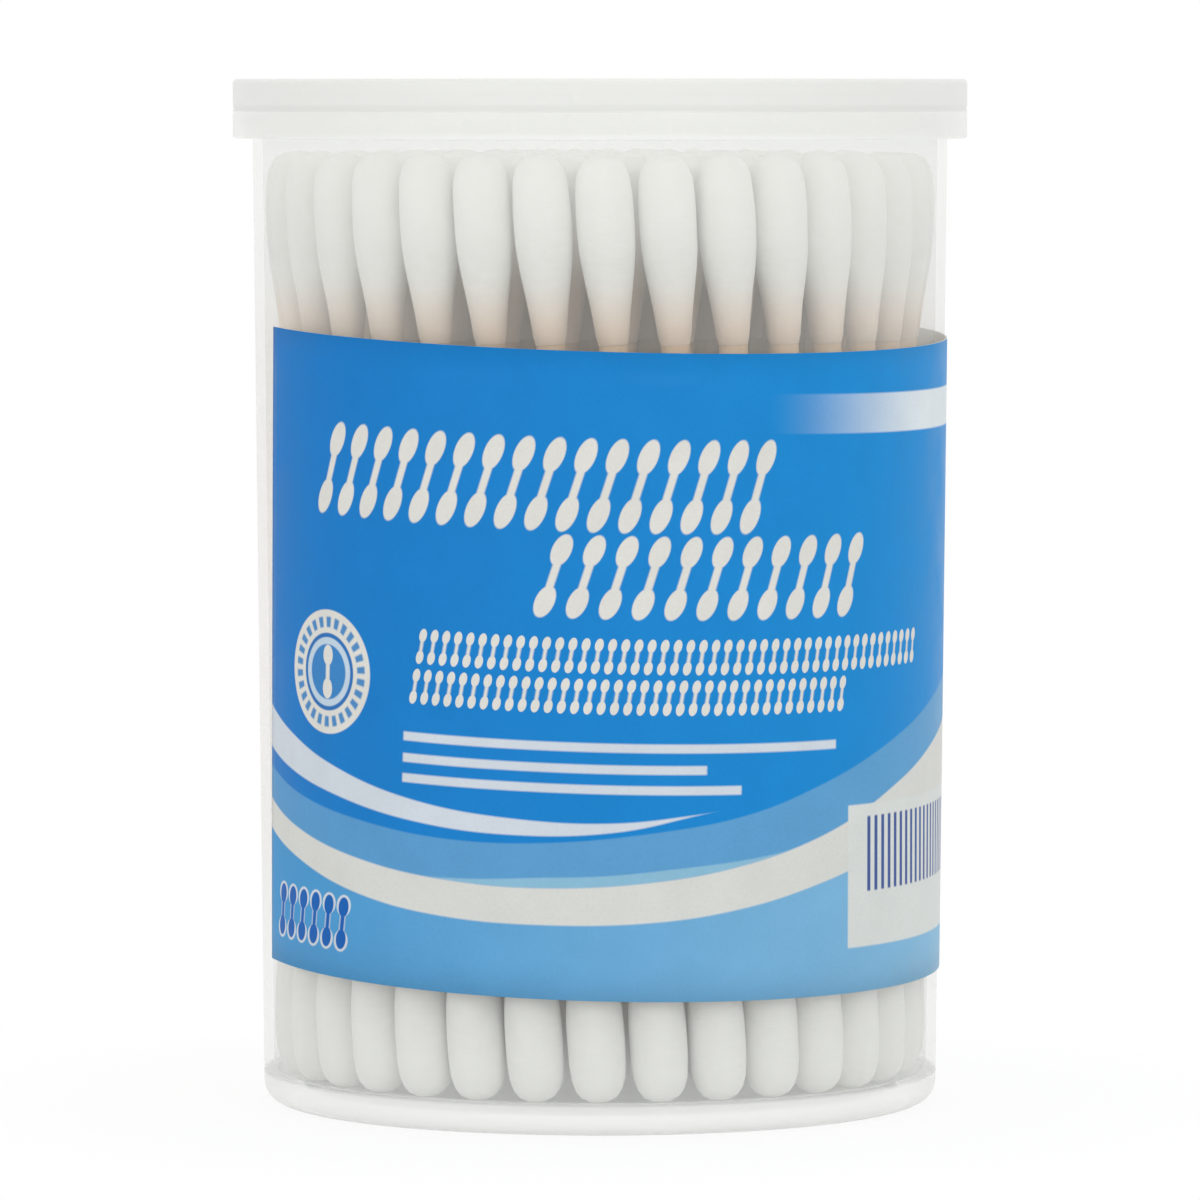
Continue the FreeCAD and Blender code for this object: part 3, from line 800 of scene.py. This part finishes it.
def one_tip(outline, sides, end, inward, uneven):
    """One wound tip with its end here; each point keeps its share of the way to the neck.

    The uneven surface only dents the outline, so a tip keeps clear of the wall.
    """
    shape = spun(outline, sides)
    share = shape.verts.layers.float.new("from_end")
    for vert in shape.verts:
        # The tips behind the outer ring reach their darker neck and tan much sooner along their length;
        # this paints the shade seen in the gaps between the outer tips.
        vert[share] = vert.co.z / (TIP * MM) * (1.0 if uneven else SHADE_AND_TAN_SOONER)
    if uneven:
        for vert in shape.verts:
            spot = vert.co / MM + end / MM * 3
            swell = noise.noise(Vector((spot.x * 0.5, spot.y * 0.5, spot.z * 0.35)))
            ridge = noise.noise(Vector((spot.x * 1.3, spot.y * 1.3, spot.z * 0.8 + 9)))
            grow = min(1.0, 1.01 + uneven * (swell * 0.8 + ridge * 0.35))
            vert.co.x *= grow
            vert.co.y *= grow
    place_along(shape, end, inward)
    return shape


def gather(whole, shape):
    """Adds a shape to a bigger one."""
    mesh = bpy.data.meshes.new("passing")
    shape.to_mesh(mesh)
    shape.free()
    whole.from_mesh(mesh)
    bpy.data.meshes.remove(mesh)


# %% Build each ring's sticks and tips
rings = [(f"ring_{ring}", ("sticks", "lower_tips", "upper_tips")) for ring in range(1, 6)]
rings.append(("middle", ("stick", "lower_tip", "upper_tip")))
swabs = 0
for ring, (stick_word, lower_word, upper_word) in rings:
    outer = ring == "ring_1"
    lines = stick_lines(f"{ring}_{stick_word}")
    swabs += len(lines)
    sticks, lowers, uppers = bmesh.new(), bmesh.new(), bmesh.new()
    for foot, head in lines:
        along_swab = (head - foot).normalized()
        stick = bmesh.new()
        bmesh.ops.create_cone(stick, cap_ends=True, cap_tris=False,
                              segments=FINE_STICK if outer else PLAIN_STICK,
                              radius1=STICK_RADIUS * MM, radius2=STICK_RADIUS * MM,
                              depth=(head - foot).length + STICK_EXTRA * MM)
        place_along(stick, (foot + head) / 2, along_swab)
        gather(sticks, stick)
        kind = (FINE_TIP, FINE_SIDES) if outer else (PLAIN_TIP, PLAIN_SIDES)
        uneven = UNEVEN if outer else 0.0
        gather(lowers, one_tip(*kind, foot - along_swab * TIP * MM, along_swab, uneven))
        gather(uppers, one_tip(*kind, head + along_swab * TIP * MM, -along_swab, uneven))
    for word, shape, finish, slot in ((stick_word, sticks, birch_finish, "birch"),
                                      (lower_word, lowers, cotton_finish, "cotton"),
                                      (upper_word, uppers, cotton_finish, "cotton")):
        way = "wound" if slot == "cotton" else "turned"
        piece = finished(f"{ring}_{word}_{way}", shape, finish)
        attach(piece, "tub")
        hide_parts(f"{ring}_{word}")
print(swabs, "swabs stand in the tub")


# %% [markdown]
# ## The table and the light
# The tub stands on a white table that runs into a white background. Near the
# tub a little of the table's real matt surface shows through the white, enough
# for a soft shadow. Further out the eye sees only white, so no horizon can be
# seen. The lamps are large and soft and stay at a level at which a colour
# looks as it is written.

# %% The table
TABLE_RADIUS, SHADE_START, SHADE_END, WHITE_NEAR = 1.6, 34 * MM, 75 * MM, 0.87
table_finish, table_tree, table_shader = new_material("white table")
table_place = table_tree.nodes.new("ShaderNodeTexCoord").outputs["Object"]
far_away = add_node(table_tree, "ShaderNodeVectorMath", {"operation": "LENGTH"},
                    Vector=table_place).outputs["Value"]
plain_white = add_node(table_tree, "ShaderNodeMapRange", {"interpolation_type": "SMOOTHSTEP"},
                       Value=far_away, n1=SHADE_START, n2=SHADE_END, n3=WHITE_NEAR).outputs[0]
rays = table_tree.nodes.new("ShaderNodeLightPath").outputs
seen = sum_of(table_tree, "MAXIMUM", rays["Is Camera Ray"], rays["Is Glossy Ray"])
seen = sum_of(table_tree, "MAXIMUM", seen, rays["Is Transmission Ray"])
glow = add_node(table_tree, "ShaderNodeEmission", Color=(1, 1, 1, 1), Strength=1.0).outputs[0]
table_shader.inputs["Base Color"].default_value = paint(252, 252, 252)
table_shader.inputs["Roughness"].default_value = 0.9
table_shader.inputs["Specular IOR Level"].default_value = 0.1
shown_white = sum_of(table_tree, "MULTIPLY", plain_white, seen)
table_mix = add_node(table_tree, "ShaderNodeMixShader", Fac=shown_white)
table_tree.links.new(table_shader.outputs[0], table_mix.inputs[1])
table_tree.links.new(glow, table_mix.inputs[2])
table_tree.links.new(table_mix.outputs[0], table_tree.nodes["Material Output"].inputs["Surface"])
table_shape = bmesh.new()
bmesh.ops.create_circle(table_shape, cap_ends=True, segments=96, radius=TABLE_RADIUS)
table = finished("table_top", table_shape, table_finish)


# %% The white surroundings
ROOM_LIGHT = 0.79
world = bpy.data.worlds.new("white room")
bpy.context.scene.world = world
world.use_nodes = True
room = world.node_tree
room.nodes.clear()
path = room.nodes.new("ShaderNodeLightPath").outputs
straight = sum_of(room, "MAXIMUM", path["Is Camera Ray"], path["Is Glossy Ray"])
straight = sum_of(room, "MAXIMUM", straight, path["Is Transmission Ray"])
lighting = add_node(room, "ShaderNodeBackground", Color=(1, 1, 1, 1), Strength=ROOM_LIGHT).outputs[0]
backdrop = add_node(room, "ShaderNodeBackground", Color=(1, 1, 1, 1), Strength=1.0).outputs[0]
room_mix = add_node(room, "ShaderNodeMixShader", Fac=straight)
room.links.new(lighting, room_mix.inputs[1])
room.links.new(backdrop, room_mix.inputs[2])
room.links.new(room_mix.outputs[0], room.nodes.new("ShaderNodeOutputWorld").inputs["Surface"])
print(world.name, "lights the tub at", ROOM_LIGHT)


# %% The lamps
def soft_lamp(name, spot, aim, width, watts):
    """A large square lamp that points at a spot."""
    light = bpy.data.lights.new(name, "AREA")
    light.shape, light.size, light.energy = "SQUARE", width, watts
    lamp = bpy.data.objects.new(name, light)
    lamp.location = spot
    lamp.rotation_euler = (Vector(aim) - Vector(spot)).to_track_quat("-Z", "Y").to_euler()
    bpy.context.scene.collection.objects.link(lamp)


LAMPS = [  # name, spot, aim, width, watts
    ("key lamp", (0.35, -0.75, 0.45), (0, 0, 0.045), 0.35, 1.05),
    ("fill lamp", (-0.55, -0.6, 0.3), (0, 0, 0.04), 0.4, 0.65),
    ("top lamp", (0.05, 0.1, 0.7), (0, 0, 0.05), 0.4, 0.8)]
for lamp_row in LAMPS:
    soft_lamp(*lamp_row)
print(len(LAMPS), "soft lamps")


# %% [markdown]
# ## The camera
# The picture was taken from a little above the lid's height with a long lens,
# which keeps the tub's sides nearly parallel. The distance, height and tilt
# below were worked out from the tub's own size and its outline in the picture.

# %% Place the camera
CAMERA_AWAY, CAMERA_HIGH, CAMERA_DIP = 725.5, 83.6, 3.376
LENS, SENSOR, NEAREST, FARTHEST = 267.6, 36, 0.01, 20
camera = bpy.data.objects.new("camera", bpy.data.cameras.new("camera"))
camera.location = (0, -CAMERA_AWAY * MM, CAMERA_HIGH * MM)
camera.rotation_euler = (math.radians(90 - CAMERA_DIP), 0, 0)
camera.data.lens, camera.data.sensor_width = LENS, SENSOR
camera.data.clip_start, camera.data.clip_end = NEAREST, FARTHEST
bpy.context.scene.collection.objects.link(camera)
bpy.context.scene.camera = camera
bpy.context.scene.view_settings.view_transform = "Standard"
print("the camera stands", CAMERA_AWAY, "mm away")
